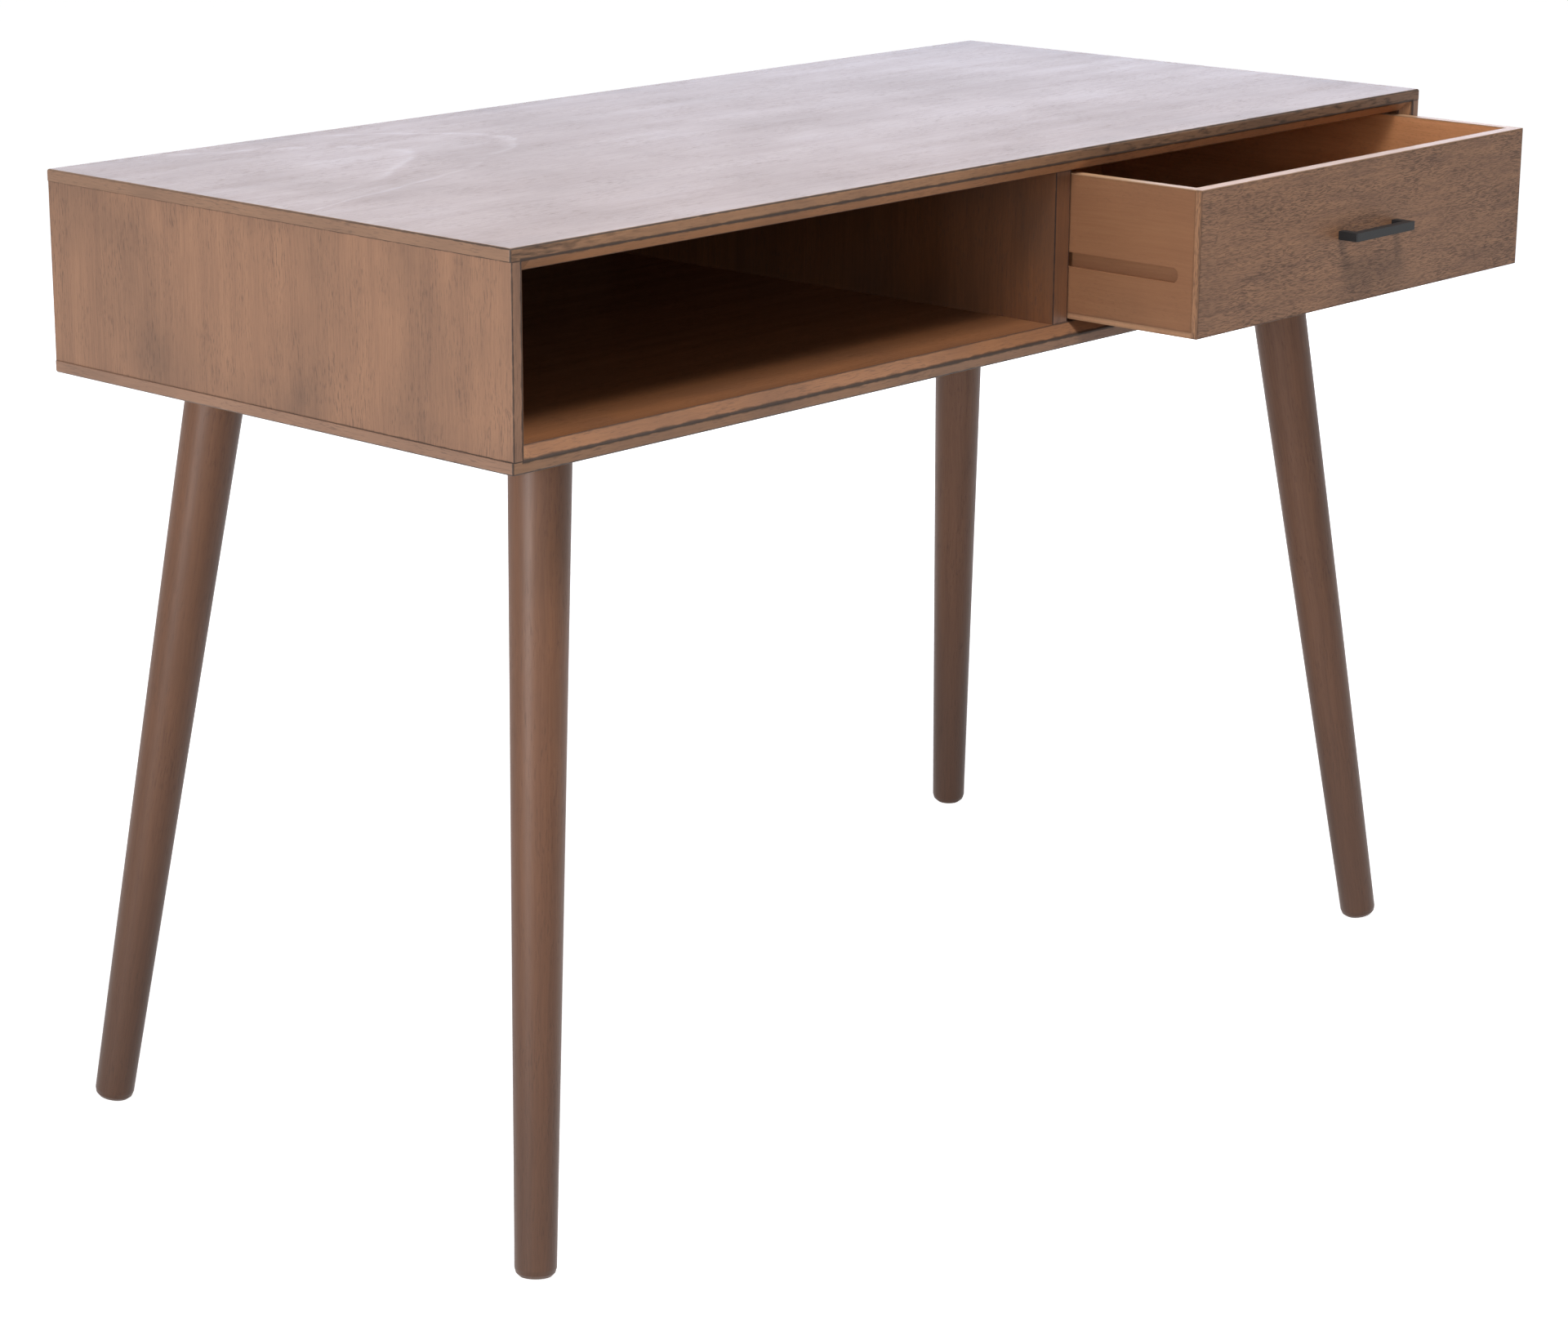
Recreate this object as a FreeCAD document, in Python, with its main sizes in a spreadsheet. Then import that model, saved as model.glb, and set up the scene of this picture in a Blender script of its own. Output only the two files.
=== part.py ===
"""Writing desk: a shallow case with an open cubby and one drawer, on four turned and splayed legs.

Millimetres. X runs to the right along the front, the front faces -Y and Z is up. The origin is on the
floor, under the middle of the case. The drawer is drawn partly open, as far as drawer_open says.
"""
import FreeCAD, Part
import os
import re
import Sketcher

SIZES = {
    # Case
    "width": 1100,
    "depth": 506,
    "height": 760,
    "case_height": 157,
    "board": 18,
    "lap": 9,                    # flat front edge, and what the top and bottom leave over the sides
    "reveal": 1,                 # how far the sides stand in from the ends of the top and bottom
    "bevel_depth": 9,
    "arris": 2,
    "side_arris": 1,
    "back_thick": 6,
    "back_seat": 8,              # how far the back panel is let into each board
    "cubby_width": 583,
    "housing_depth": 6,          # how far the divider is let into the top and bottom
    "housing_stop": 20,          # front of the divider to the end of its housings
    "fit_gap": 0.15,             # room round bolts and sleeves in their holes
    # Legs
    "leg_inset_x": 100,          # leg centre under the case, from the end and from the front or back
    "leg_inset_y": 76,
    "leg_splay_x": 80.5,
    "leg_splay_y": 68.5,
    "leg_top_radius": 23.6,
    "leg_tip_radius": 15.6,
    "leg_tip_round": 7.2,
    "foot_trim": 1,              # what the level cut takes off the lowest point of the rounded tip
    "top_trim": 8,
    "bolt_radius": 4,
    "bolt_length": 58,
    "bolt_in_panel": 13,
    "insert_radius": 6.5,
    "insert_length": 15,
    # Drawer
    "drawer_open": 127,          # from closed, as drawn
    "drawer_travel": 310,        # from closed to the stop
    "drawer_length": 450,
    "front_set_back": 1,         # closed front behind the inner edge of the bevel
    "side_gap": 1,
    "drawer_gap": 2.5,
    "front_thick": 12,
    "front_lip": 5.5,            # what the rebates leave in front of the sides and bottom
    "front_arris": 0.8,
    "drawer_side": 9,
    "drawer_back": 12,
    "back_drop": 10,             # drawer back below the tops of the sides
    "drawer_bottom": 4.5,
    "back_rebate": 3,            # how far the drawer back is let into the sides
    # Runners and stop
    "groove_drop": 62.5,         # top of the drawer side to the top of its groove
    "groove_height": 12,
    "groove_depth": 4.5,
    "groove_stop": 20,           # front face of the drawer to the end of the groove
    "runner_seat_gap": 0.3,
    "runner_under_gap": 0.9,
    "runner_face_gap": 0.5,
    "runner_end_gap": 0.5,
    "runner_length": 400,
    "stop_width": 40,
    "stop_depth": 20,
    "stop_catch": 10,
    "stop_gap": 0.5,
    # Pull
    "pull_length": 83,
    "pull_bar": 7,
    "pull_reach": 18,
    "pull_round": 1,
}

TOUCH = 0.01  # what counts as the same place when edges are picked

# Places on the case
CASE_Z = "(height - case_height)"
FLOOR_Z = f"({CASE_Z} + board)"
CEILING_Z = "(height - board)"
FRONT_Y = "(-depth / 2)"
BACK_Y = "(depth / 2)"
SIDE_X = "(width / 2 - reveal)"
INNER_X = f"({SIDE_X} - board)"
DIVIDER_X = f"(-{INNER_X} + cubby_width)"
BAY_X = f"({DIVIDER_X} + board)"
BAY_MIDDLE = f"(({BAY_X} + {INNER_X}) / 2)"

# Places on the drawer and its runners
CLOSED_Y = f"({FRONT_Y} + bevel_depth + front_set_back)"
DRAWER_Y = f"({CLOSED_Y} - drawer_open)"
DRAWER_END = f"({DRAWER_Y} + drawer_length)"
DRAWER_LEFT = f"({BAY_X} + side_gap)"
DRAWER_RIGHT = f"({INNER_X} - side_gap)"
DRAWER_LOW = f"({FLOOR_Z} + drawer_gap)"
DRAWER_HIGH = f"({CEILING_Z} - drawer_gap)"
DRAWER_DECK = f"({DRAWER_LOW} + drawer_bottom)"
BACK_TOP = f"({DRAWER_HIGH} - back_drop)"
GROOVE_Z = f"({DRAWER_HIGH} - groove_drop - groove_height / 2)"
RUNNER_HEIGHT = "(groove_height - runner_seat_gap - runner_under_gap)"
RUNNER_THICK = "(side_gap + groove_depth - runner_face_gap)"
RUNNER_Z = f"({GROOVE_Z} + (runner_under_gap - runner_seat_gap) / 2)"
RUNNER_Y = f"({CLOSED_Y} + groove_stop + runner_end_gap)"
PULL_Z = f"(({DRAWER_LOW} + {DRAWER_HIGH}) / 2)"

doc = FreeCAD.newDocument("WritingDesk")
sizes = doc.addObject("Spreadsheet::Sheet", "Sizes")
for row, (alias, size) in enumerate(SIZES.items(), 1):
    sizes.set(f"A{row}", alias)
    sizes.set(f"B{row}", str(size))
    sizes.setAlias(f"B{row}", alias)
doc.recompute()

nodes = []


def ref(expression):
    """The expression with each size read from the sheet."""
    return re.sub(r"[a-z_]+", lambda word: ("Sizes." if word[0] in SIZES else "") + word[0], expression)


def number(expression):
    """What the expression comes to now."""
    return float(sizes.evalExpression(ref(expression)))


def bind(target, expressions):
    """Ties properties of a document object to the sheet."""
    for name, expression in expressions.items():
        target.setExpression(name, ref(expression))


def node(target, label):
    """Names a finished piece and lists it."""
    target.Label = label
    nodes.append(target)
    return target


def new_body(label):
    """An empty body that is a finished piece."""
    return node(doc.addObject("PartDesign::Body", "Body"), label)


# Sketches


def sketch_on(body, plane, at="0"):
    """An empty sketch parallel to an origin plane of the body, where its third axis reads at."""
    sketch = body.newObject("Sketcher::SketchObject", "Sketch")
    base = next(feature for feature in body.Origin.OriginFeatures if feature.Role == plane)
    sketch.AttachmentSupport = (base, [""])
    sketch.MapMode = "FlatFace"
    facing = "-" if plane == "XZ_Plane" else ""
    bind(sketch, {"AttachmentOffset.Base.z": f"{facing}({at})"})
    return sketch


def vector(x, y):
    """A sketch point from two expressions."""
    return FreeCAD.Vector(number(x), number(y), 0)


def dimension(sketch, expression, kind, *where):
    """A driving dimension tied to the sheet."""
    index = sketch.addConstraint(Sketcher.Constraint(kind, *where, number(expression)))
    bind(sketch, {f"Constraints[{index}]": expression})


def place(sketch, geometry, point, x, y):
    """Dimensions a point of the sketch from the origin."""
    dimension(sketch, x, "DistanceX", -1, 1, geometry, point)
    dimension(sketch, y, "DistanceY", -1, 1, geometry, point)


def outline(sketch, points):
    """A closed outline of straight lines through the points."""
    corners = [vector(x, y) for x, y in points]
    count = len(corners)
    for i in range(count):
        sketch.addGeometry(Part.LineSegment(corners[i], corners[(i + 1) % count]))
    for i, (x, y) in enumerate(points):
        sketch.addConstraint(Sketcher.Constraint("Coincident", i - 1 if i else count - 1, 2, i, 1))
        place(sketch, i, 1, x, y)


def rectangle(sketch, left, right, low, high):
    """A closed rectangle."""
    outline(sketch, [(left, low), (right, low), (right, high), (left, high)])


def circles(sketch, centres, radius):
    """Circles of one radius."""
    for x, y in centres:
        circle = sketch.addGeometry(Part.Circle(vector(x, y), FreeCAD.Vector(0, 0, 1), number(radius)))
        place(sketch, circle, 3, x, y)
        dimension(sketch, radius, "Radius", circle)


def round_ended_slot(sketch, front, back, middle, height):
    """A slot that ends in a half circle at the front and is square at the back."""
    radius = f"({height} / 2)"
    centre = f"({front} + {radius})"
    low = f"({middle} - {radius})"
    high = f"({middle} + {radius})"
    half_circle = Part.ArcOfCircle(
        Part.Circle(vector(centre, middle), FreeCAD.Vector(0, 0, 1), number(radius)),
        number("pi / 2"), number("3 * pi / 2"))
    nose = sketch.addGeometry(half_circle)
    lower = sketch.addGeometry(Part.LineSegment(vector(centre, low), vector(back, low)))
    end = sketch.addGeometry(Part.LineSegment(vector(back, low), vector(back, high)))
    upper = sketch.addGeometry(Part.LineSegment(vector(back, high), vector(centre, high)))
    for first, second in ((nose, lower), (lower, end), (end, upper), (upper, nose)):
        sketch.addConstraint(Sketcher.Constraint("Coincident", first, 2, second, 1))
    sketch.addConstraint(Sketcher.Constraint("Vertical", nose, 1, nose, 2))
    for line in (lower, upper):
        sketch.addConstraint(Sketcher.Constraint("Horizontal", line))
    sketch.addConstraint(Sketcher.Constraint("Vertical", end))
    place(sketch, nose, 3, centre, middle)
    dimension(sketch, radius, "Radius", nose)
    dimension(sketch, centre, "DistanceX", -1, 1, nose, 1)
    dimension(sketch, back, "DistanceX", -1, 1, end, 1)


# Features


def extrude(body, kind, sketch, length, forward):
    """A pad or pocket from the sketch, towards the positive axis or away from it."""
    feature = body.newObject(f"PartDesign::{kind}", kind)
    feature.Profile = sketch
    bind(feature, {"Length": length})
    faces_backward = sketch.AttachmentSupport[0][0].Role == "XZ_Plane"
    goes_forward = (kind == "Pad") != faces_backward
    feature.Reversed = goes_forward != forward


def board(label, x, y, z):
    """A plain board between pairs of faces."""
    body = new_body(label)
    sketch = sketch_on(body, "XY_Plane", z[0])
    rectangle(sketch, *x, *y)
    extrude(body, "Pad", sketch, f"{z[1]} - {z[0]}", True)
    return body


def ease(body, radius, chosen):
    """Rounds the chosen edges of what the body has so far."""
    doc.recompute()
    feature = body.newObject("PartDesign::Fillet", "Fillet")
    base = body.Tip if body.Tip is not feature else feature.BaseFeature
    names = [f"Edge{i}" for i, edge in enumerate(base.Shape.Edges, 1) if chosen(edge.BoundBox)]
    feature.Base = (base, names)
    bind(feature, {"Radius": radius})


def frame_cut(body, front, back, front_flat, back_flat):
    """Cuts the opening that runs round all four case boards, leaving each board's outer flat."""
    cut = body.newObject("PartDesign::SubtractiveWedge", "FrameCut")
    bind(cut, {
        "Ymin": front, "Ymax": back,
        "Xmin": f"-({SIDE_X} - {front_flat})", "Xmax": f"{SIDE_X} - {front_flat}",
        "Zmin": f"{CASE_Z} + {front_flat}", "Zmax": f"height - {front_flat}",
        "X2min": f"-({SIDE_X} - {back_flat})", "X2max": f"{SIDE_X} - {back_flat}",
        "Z2min": f"{CASE_Z} + {back_flat}", "Z2max": f"height - {back_flat}",
    })


def bevel_and_rebate(body):
    """The mitred bevel round the front of the case and the rebate for its back panel."""
    frame_cut(body, FRONT_Y, f"{FRONT_Y} + bevel_depth", "lap", "board")
    rebate = "(board - back_seat)"
    frame_cut(body, f"{BACK_Y} - back_thick", BACK_Y, rebate, rebate)


def revolved(profile):
    """A body turned about Z."""
    form = doc.addObject("PartDesign::Body", "Form")
    sketch = sketch_on(form, "XZ_Plane")
    outline(sketch, profile)
    feature = form.newObject("PartDesign::Revolution", "Revolution")
    feature.Profile = sketch
    feature.ReferenceAxis = (sketch, ["V_Axis"])
    return form


def turned(label, profile, places):
    """Equal upright round pieces: one form, set at each place."""
    form = revolved(profile)
    copies = []
    for x, y, z in places:
        copy = doc.addObject("App::Link", "Copy")
        copy.LinkedObject = form
        bind(copy, {"Placement.Base.x": x, "Placement.Base.y": y, "Placement.Base.z": z})
        copies.append(copy)
    group = doc.addObject("Part::Compound", "Group")
    group.Links = copies
    return node(group, label)


# Top and bottom: boards whose ends are rebated over the side panels, with eased outer edges and a
# stopped housing for the divider
DIVIDER_Y = f"({FRONT_Y} + bevel_depth)"
DIVIDER_END = f"({BACK_Y} - back_thick)"
HOUSING_Y = f"({DIVIDER_Y} + housing_stop)"


def covering_panel(label, outer, lapped, inner, upward):
    """The top, or the bottom as its mirror image."""
    panel = new_body(label)
    section = sketch_on(panel, "XZ_Plane", FRONT_Y)
    end = "width / 2"
    outline(section, [
        (f"-{end}", outer), (end, outer), (end, lapped), (INNER_X, lapped),
        (INNER_X, inner), (f"-{INNER_X}", inner), (f"-{INNER_X}", lapped), (f"-{end}", lapped)])
    extrude(panel, "Pad", section, "depth", True)
    outer_z, end_x = number(outer), number(end)

    def outside(box):
        """Edges of the outer face, and the upright edges at its ends."""
        upright = box.ZLength > TOUCH and abs(abs(box.Center.x) - end_x) < TOUCH
        return upright or abs(box.Center.z - outer_z) < TOUCH

    ease(panel, "arris", outside)
    bevel_and_rebate(panel)
    housing = sketch_on(panel, "XY_Plane", inner)
    rectangle(housing, DIVIDER_X, BAY_X, HOUSING_Y, DIVIDER_END)
    extrude(panel, "Pocket", housing, "housing_depth", upward)
    return panel


covering_panel("top_panel", "height", "(height - lap)", CEILING_Z, True)
bottom = covering_panel("bottom_panel", CASE_Z, f"({CASE_Z} + lap)", FLOOR_Z, False)

# Leg bolts go up into sleeves in the bottom panel
LEG_X = "(width / 2 - leg_inset_x)"
LEG_Y = "(depth / 2 - leg_inset_y)"
CORNERS = {"front_left": (-1, -1), "front_right": (1, -1), "rear_left": (-1, 1), "rear_right": (1, 1)}
leg_centres = [(f"{side} * {LEG_X}", f"{end} * {LEG_Y}") for side, end in CORNERS.values()]
sleeve_holes = sketch_on(bottom, "XY_Plane", CASE_Z)
circles(sleeve_holes, leg_centres, "insert_radius + fit_gap")
extrude(bottom, "Pocket", sleeve_holes, "insert_length + fit_gap", True)

# Sides
for label, side in (("left_side_panel", -1), ("right_side_panel", 1)):
    faces = sorted((f"{side} * {SIDE_X}", f"{side} * {INNER_X}"), key=number)
    panel = board(label, faces, (FRONT_Y, BACK_Y), (f"({CASE_Z} + lap)", "(height - lap)"))
    outside = side * number(SIDE_X)
    ease(panel, "side_arris", lambda box: box.ZLength > TOUCH and abs(box.Center.x - outside) < TOUCH)
    bevel_and_rebate(panel)

# Back panel, and the divider with its front corners notched round the stopped housings
seat_x = f"({INNER_X} + back_seat)"
board("back_panel", (f"-{seat_x}", seat_x), (DIVIDER_END, BACK_Y),
      (f"({FLOOR_Z} - back_seat)", f"({CEILING_Z} + back_seat)"))
divider = new_body("divider_panel")
upright = sketch_on(divider, "YZ_Plane", DIVIDER_X)
outline(upright, [
    (DIVIDER_Y, FLOOR_Z), (HOUSING_Y, FLOOR_Z), (HOUSING_Y, f"{FLOOR_Z} - housing_depth"),
    (DIVIDER_END, f"{FLOOR_Z} - housing_depth"), (DIVIDER_END, f"{CEILING_Z} + housing_depth"),
    (HOUSING_Y, f"{CEILING_Z} + housing_depth"), (HOUSING_Y, CEILING_Z), (DIVIDER_Y, CEILING_Z)])
extrude(divider, "Pad", upright, "board", True)

# Legs: turned blanks with a straight taper and a rounded tip, leaned outwards and cut level
SPLAY = "sqrt(leg_splay_x ^ 2 + leg_splay_y ^ 2)"
LEG_LENGTH = f"sqrt(leg_splay_x ^ 2 + leg_splay_y ^ 2 + {CASE_Z} ^ 2)"
TIP_DROP = f"(leg_tip_round + (leg_tip_radius - leg_tip_round) * {SPLAY} / {LEG_LENGTH})"
BLANK_FOOT = f"(({TIP_DROP} - foot_trim) * {LEG_LENGTH} / {CASE_Z} - leg_tip_round)"
BLANK_TOP = f"({LEG_LENGTH} + top_trim)"
TIP_TURNS = (0, 30, 60, 90)  # degrees round the tip where its profile is struck
IN_LEG = "(bolt_length - bolt_in_panel)"

span = doc.addObject("Part::Box", "LegSpan")
bind(span, {"Length": "2 * width", "Width": "2 * depth", "Height": CASE_Z,
            "Placement.Base.x": "-width", "Placement.Base.y": "-depth"})


def leg_blank():
    """The turned leg before it is leaned, with the middle of its foot at the origin."""
    profile = [("0", BLANK_FOOT)]
    for turn in TIP_TURNS:
        radius = f"leg_tip_radius - leg_tip_round * (1 - sin({turn}))"
        profile.append((radius, f"{BLANK_FOOT} + leg_tip_round * (1 - cos({turn}))"))
    return revolved([*profile, ("leg_top_radius", BLANK_TOP), ("0", BLANK_TOP)])


for corner, (side, end) in CORNERS.items():
    blank = leg_blank()
    foot_x = f"{side} * ({LEG_X} + leg_splay_x)"
    foot_y = f"{end} * ({LEG_Y} + leg_splay_y)"
    lean = f"rotation(vector({end} * leg_splay_y; {-side} * leg_splay_x; 0); atan({SPLAY} / {CASE_Z}))"
    bind(blank, {"Placement": f"placement(vector({foot_x}; {foot_y}; 0); {lean})"})
    level = doc.addObject("Part::Common", "LevelLeg")
    level.Base = blank
    level.Tool = span
    hole = doc.addObject("Part::Cylinder", "BoltHole")
    bind(hole, {"Radius": "bolt_radius + fit_gap", "Height": f"{IN_LEG} + fit_gap",
                "Placement.Base.x": f"{side} * {LEG_X}", "Placement.Base.y": f"{end} * {LEG_Y}",
                "Placement.Base.z": f"{CASE_Z} - {IN_LEG} - fit_gap"})
    leg = doc.addObject("Part::Cut", "Leg")
    leg.Base = level
    leg.Tool = hole
    node(leg, f"{corner}_leg")

leg_tops = [(*centre, CASE_Z) for centre in leg_centres]
turned("leg_bolts", [
    ("0", f"-{IN_LEG}"), ("bolt_radius", f"-{IN_LEG}"), ("bolt_radius", "bolt_in_panel"),
    ("0", "bolt_in_panel")], leg_tops)
turned("leg_inserts", [
    ("bolt_radius + fit_gap", "0"), ("insert_radius", "0"), ("insert_radius", "insert_length"),
    ("bolt_radius + fit_gap", "insert_length")], leg_tops)

# Runners: round-nosed strips glued to the divider and the right side
for label, wall_x, inward in (("left_runner", BAY_X, 1), ("right_runner", INNER_X, -1)):
    runner = new_body(label)
    strip = sketch_on(runner, "YZ_Plane", wall_x)
    round_ended_slot(strip, RUNNER_Y, f"({RUNNER_Y} + runner_length)", RUNNER_Z, RUNNER_HEIGHT)
    extrude(runner, "Pad", strip, RUNNER_THICK, inward > 0)

# Stop: a block glued under the top, which the drawer back meets at the end of its travel
STOP_END = f"({CLOSED_Y} + drawer_length - drawer_back - drawer_travel - stop_gap)"
board("drawer_stop", (f"({BAY_MIDDLE} - stop_width / 2)", f"({BAY_MIDDLE} + stop_width / 2)"),
      (f"({STOP_END} - stop_depth)", STOP_END), (f"({BACK_TOP} - stop_catch)", CEILING_Z))

# Drawer front: a thick board whose ends and lower edge are rebated to a thin lip
LIP_BACK = f"({DRAWER_Y} + front_lip)"
INSIDE_LEFT = f"({DRAWER_LEFT} + drawer_side)"
INSIDE_RIGHT = f"({DRAWER_RIGHT} - drawer_side)"
front = new_body("drawer_front")
face = sketch_on(front, "XZ_Plane", DRAWER_Y)
rectangle(face, DRAWER_LEFT, DRAWER_RIGHT, DRAWER_LOW, DRAWER_HIGH)
extrude(front, "Pad", face, "front_lip", True)
front_y = number(DRAWER_Y)
ease(front, "front_arris", lambda box: abs(box.Center.y - front_y) < TOUCH)
core = sketch_on(front, "XZ_Plane", LIP_BACK)
rectangle(core, INSIDE_LEFT, INSIDE_RIGHT, DRAWER_DECK, DRAWER_HIGH)
extrude(front, "Pad", core, "front_thick - front_lip", True)

# Drawer sides with their stopped grooves, and the back let into their rear ends
BACK_FACE = f"({DRAWER_END} - drawer_back)"
board("drawer_back", (f"({INSIDE_LEFT} - back_rebate)", f"({INSIDE_RIGHT} + back_rebate)"),
      (BACK_FACE, DRAWER_END), (DRAWER_DECK, BACK_TOP))
for label, outside, inside, inward in (
        ("drawer_left_side", DRAWER_LEFT, INSIDE_LEFT, 1),
        ("drawer_right_side", DRAWER_RIGHT, INSIDE_RIGHT, -1)):
    faces = sorted((outside, inside), key=number)
    plank = board(label, faces, (LIP_BACK, DRAWER_END), (DRAWER_DECK, DRAWER_HIGH))
    groove = sketch_on(plank, "YZ_Plane", outside)
    round_ended_slot(groove, f"({DRAWER_Y} + groove_stop)", DRAWER_END, GROOVE_Z, "groove_height")
    extrude(plank, "Pocket", groove, "groove_depth", inward > 0)
    rebate = sketch_on(plank, "YZ_Plane", inside)
    rectangle(rebate, BACK_FACE, DRAWER_END, DRAWER_DECK, BACK_TOP)
    extrude(plank, "Pocket", rebate, "back_rebate", inward < 0)

# Drawer bottom: a thin board under the sides and back, let into the front
board("drawer_bottom", (DRAWER_LEFT, DRAWER_RIGHT), (LIP_BACK, DRAWER_END), (DRAWER_LOW, DRAWER_DECK))

# Pull: a square bar bent to a low bow
pull = new_body("drawer_pull")
bow = sketch_on(pull, "XY_Plane", f"{PULL_Z} - pull_bar / 2")
left, right = f"({BAY_MIDDLE} - pull_length / 2)", f"({BAY_MIDDLE} + pull_length / 2)"
tip = f"({DRAWER_Y} - pull_reach)"
outline(bow, [
    (left, DRAWER_Y), (left, tip), (right, tip), (right, DRAWER_Y), (f"{right} - pull_bar", DRAWER_Y),
    (f"{right} - pull_bar", f"{tip} + pull_bar"), (f"{left} + pull_bar", f"{tip} + pull_bar"),
    (f"{left} + pull_bar", DRAWER_Y)])
extrude(pull, "Pad", bow, "pull_bar", True)
ease(pull, "pull_round", lambda box: box.ZLength > TOUCH and box.Center.y < front_y - TOUCH)

doc.recompute()

# Nothing is written unless every feature holds and every cut takes something away
for item in doc.Objects:
    if "Invalid" in item.State or "Error" in item.State:
        raise RuntimeError(f"{item.Label} did not build: {item.State}")
    if item.TypeId in ("PartDesign::Pocket", "PartDesign::SubtractiveWedge"):
        if item.Shape.Volume >= item.BaseFeature.Shape.Volume:
            raise RuntimeError(f"{item.Label} cuts nothing")
for piece in nodes:
    if piece.Shape.isNull() or not piece.Shape.isValid():
        raise RuntimeError(f"{piece.Label} has no valid shape")

os.makedirs("parts", exist_ok=True)
for piece in nodes:
    piece.Shape.exportStep(f"parts/{piece.Label}.step")
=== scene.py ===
"""Looks of the writing desk: stained wood, lacquer, black pull and small fixings, on a pale studio floor."""
import math

import bmesh
import bpy
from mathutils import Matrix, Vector


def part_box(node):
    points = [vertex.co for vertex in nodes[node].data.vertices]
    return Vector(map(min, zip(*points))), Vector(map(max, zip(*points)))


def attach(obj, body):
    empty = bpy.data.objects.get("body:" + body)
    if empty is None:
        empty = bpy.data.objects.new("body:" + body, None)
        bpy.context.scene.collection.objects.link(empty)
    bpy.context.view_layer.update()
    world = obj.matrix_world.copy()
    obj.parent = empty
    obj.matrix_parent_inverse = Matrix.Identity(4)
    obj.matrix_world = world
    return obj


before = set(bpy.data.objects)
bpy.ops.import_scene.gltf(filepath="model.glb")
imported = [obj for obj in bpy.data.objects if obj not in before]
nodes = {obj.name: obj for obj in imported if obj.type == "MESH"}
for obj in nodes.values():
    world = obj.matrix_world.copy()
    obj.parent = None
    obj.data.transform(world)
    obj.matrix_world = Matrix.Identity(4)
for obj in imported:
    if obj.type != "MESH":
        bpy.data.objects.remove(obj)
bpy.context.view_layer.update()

# Top and bottom of the case: 18 mm boards faced with flat-cut walnut veneer, grain running along the desk, with
# a strip of the same veneer on the ends. They are stained brown, a darker glaze is wiped into the pores and
# left in the joints and along the edges, and a satin lacquer closes the surface but not the pores.

MM = 1000
ALONG_X, ALONG_Y, ALONG_Z = 0, 1, 2
LACQUER_IOR = 1.45
# Near-black glaze, also the colour of the painted shade on the case front over the drawer
GLAZE_AND_SHADE_COLOUR = "#1f1714"

# Millimetres: the case from front to rear, how near to its front plane a face counts as flat front, the depth to
# which end veneer shows, and boxes for faces in a colour of their own: the end strips, the cubby's inside painted
# darker as shade, and the bevels, a paler cut, and the flat front painted lighter as the light they catch
CASE_FRONT, CASE_REAR, FLAT_FRONT = -253, 253, -252.4
END_VENEER = 0.6
CASE_ZONES = {
    "inside": ((-540, -244.3, 612), (540, 260, 751)),
    "bevel": ((-540, -252.6, 612), (540, -244.3, 751)),
    "front": ((-551, -254, 600), (551, FLAT_FRONT, 761)),
    "left_end": ((-550.6, -260, 600), (-549.4, 260, 761)),
    "right_end": ((549.4, -260, 600), (550.6, 260, 761)),
}


def to_linear(code):
    """The linear colour that shaders use, from an sRGB hex value."""
    parts = [int(code[i:i + 2], 16) / 255 for i in (1, 3, 5)]
    return (*(p / 12.92 if p <= 0.04045 else ((p + 0.055) / 1.055) ** 2.4 for p in parts), 1)


def add(tree, kind, settings=None, links=None):
    """Adds a shader node with its settings. A link is a socket of another node, or a plain value."""
    item = tree.nodes.new("ShaderNode" + kind)
    for name, value in (settings or {}).items():
        setattr(item, name, value)
    for socket, source in (links or {}).items():
        if isinstance(source, bpy.types.NodeSocket):
            tree.links.new(source, item.inputs[socket])
        else:
            item.inputs[socket].default_value = source
    return item


def new_material(name):
    """An empty material, its node tree and its main shader."""
    material = bpy.data.materials.new(name)
    material.use_nodes = True
    return material, material.node_tree, material.node_tree.nodes["Principled BSDF"]


def finish_node(node, material):
    """Gives a CAD node its finish."""
    for slot in nodes[node].material_slots:
        slot.material = material


def grain_pattern(tree, place, grain, along, across, detail=2):
    """Uneven pattern that repeats in about this many millimetres along the grain and across it."""
    repeats = [1 / along if axis == grain else 1 / across for axis in range(3)]
    drawn_out = add(tree, "VectorMath", {"operation": "MULTIPLY"}, {0: place, 1: repeats}).outputs[0]
    return add(tree, "TexNoise", {}, {"Vector": drawn_out, "Scale": 1, "Detail": detail}).outputs


def depths_inside(tree, mm, low, high):
    """How many millimetres a point lies inside a box, along each of the three axes."""
    from_low = add(tree, "VectorMath", {"operation": "SUBTRACT"}, {0: mm, 1: low}).outputs[0]
    from_high = add(tree, "VectorMath", {"operation": "SUBTRACT"}, {0: high, 1: mm}).outputs[0]
    nearest = add(tree, "VectorMath", {"operation": "MINIMUM"}, {0: from_low, 1: from_high}).outputs[0]
    return add(tree, "SeparateXYZ", {}, {0: nearest}).outputs


def edge_distance(tree, mm, node):
    """Millimetres from a point of a board's face to the nearest edge: the middle one of its three depths."""
    low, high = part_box(node)
    x, y, z = depths_inside(tree, mm, low * MM, high * MM)
    less = add(tree, "Math", {"operation": "MINIMUM"}, {0: x, 1: y}).outputs[0]
    more = add(tree, "Math", {"operation": "MAXIMUM"}, {0: x, 1: y}).outputs[0]
    between = add(tree, "Math", {"operation": "MINIMUM"}, {0: more, 1: z}).outputs[0]
    return add(tree, "Math", {"operation": "MAXIMUM"}, {0: less, 1: between}).outputs[0]


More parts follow.
